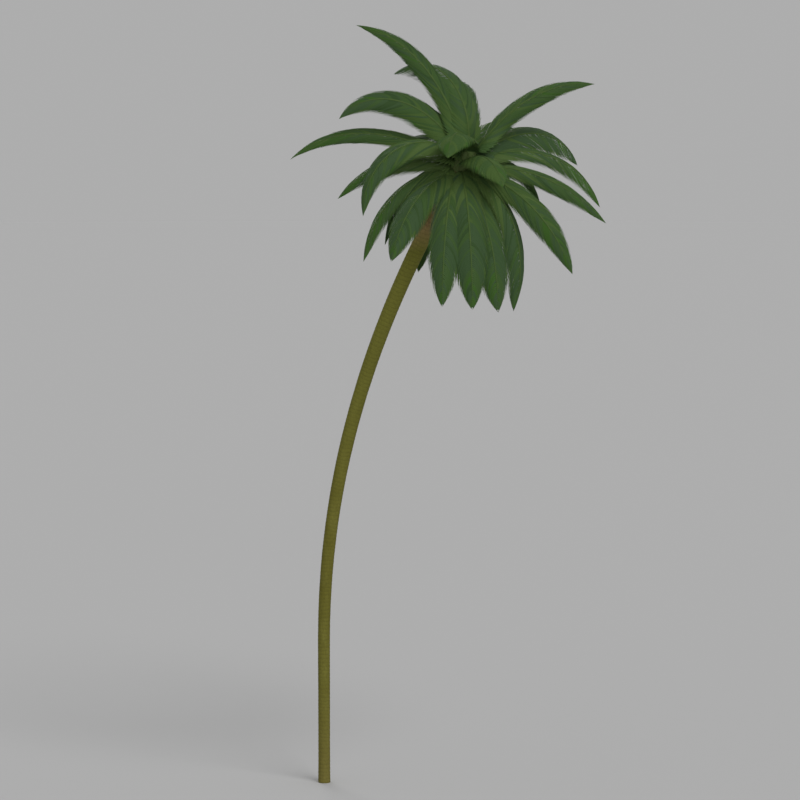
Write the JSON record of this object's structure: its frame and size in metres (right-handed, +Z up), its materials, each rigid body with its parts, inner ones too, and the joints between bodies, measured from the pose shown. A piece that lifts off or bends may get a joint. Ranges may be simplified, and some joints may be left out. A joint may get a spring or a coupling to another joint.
{
  "type": "palm tree",
  "caption": "Tall slender palm with a bowed, leaning trunk and an open crown of long pointed, arching fronds, cut flat at ground level.",
  "frame": {"origin": "centre of the flat cut under the trunk, at ground level", "axes": "+Z up; the trunk bows towards +X and a little towards -Y, the side that the picture shows"},
  "size_m": [7.5442, 5.5397, 18.7216],
  "materials": {
    "bark": "rough ringed bark, olive grey",
    "sheath": "fibrous, matte",
    "leaf": "waxy leaf, semi-matte"
  },
  "bodies": {
    "root": {"trunk": "bark", "heart": "sheath", "left_top_inner": "leaf", "left_top_outer": "leaf", "left_high_inner": "leaf", "left_high_outer": "leaf", "left_level_inner": "leaf", "left_level_outer": "leaf", "left_low_back_inner": "leaf", "left_low_back_outer": "leaf", "left_low_inner": "leaf", "left_low_outer": "leaf", "left_drooping_inner": "leaf", "left_drooping_outer": "leaf", "left_hanging_inner": "leaf", "left_hanging_outer": "leaf", "front_hanging_1_inner": "leaf", "front_hanging_1_outer": "leaf", "front_hanging_2_inner": "leaf", "front_hanging_2_outer": "leaf", "front_hanging_3_inner": "leaf", "front_hanging_3_outer": "leaf", "front_hanging_4_inner": "leaf", "front_hanging_4_outer": "leaf", "right_drooping_inner": "leaf", "right_drooping_outer": "leaf", "right_low_inner": "leaf", "right_low_outer": "leaf", "right_level_inner": "leaf", "right_level_outer": "leaf", "right_high_inner": "leaf", "right_high_outer": "leaf", "right_top_inner": "leaf", "right_top_outer": "leaf", "young_left": "leaf", "young_right": "leaf", "rear_left_top_inner": "leaf", "rear_left_top_outer": "leaf", "rear_top_inner": "leaf", "rear_top_outer": "leaf", "rear_high_inner": "leaf", "rear_high_outer": "leaf", "rear_left_inner": "leaf", "rear_left_outer": "leaf", "rear_right_inner": "leaf", "rear_right_outer": "leaf", "rear_level_inner": "leaf", "rear_level_outer": "leaf", "rear_left_low_inner": "leaf", "rear_left_low_outer": "leaf", "rear_hanging_1_inner": "leaf", "rear_hanging_1_outer": "leaf", "rear_hanging_2_inner": "leaf", "rear_hanging_2_outer": "leaf", "rear_hanging_3_inner": "leaf", "rear_hanging_3_outer": "leaf"}
  },
  "joints": []
}
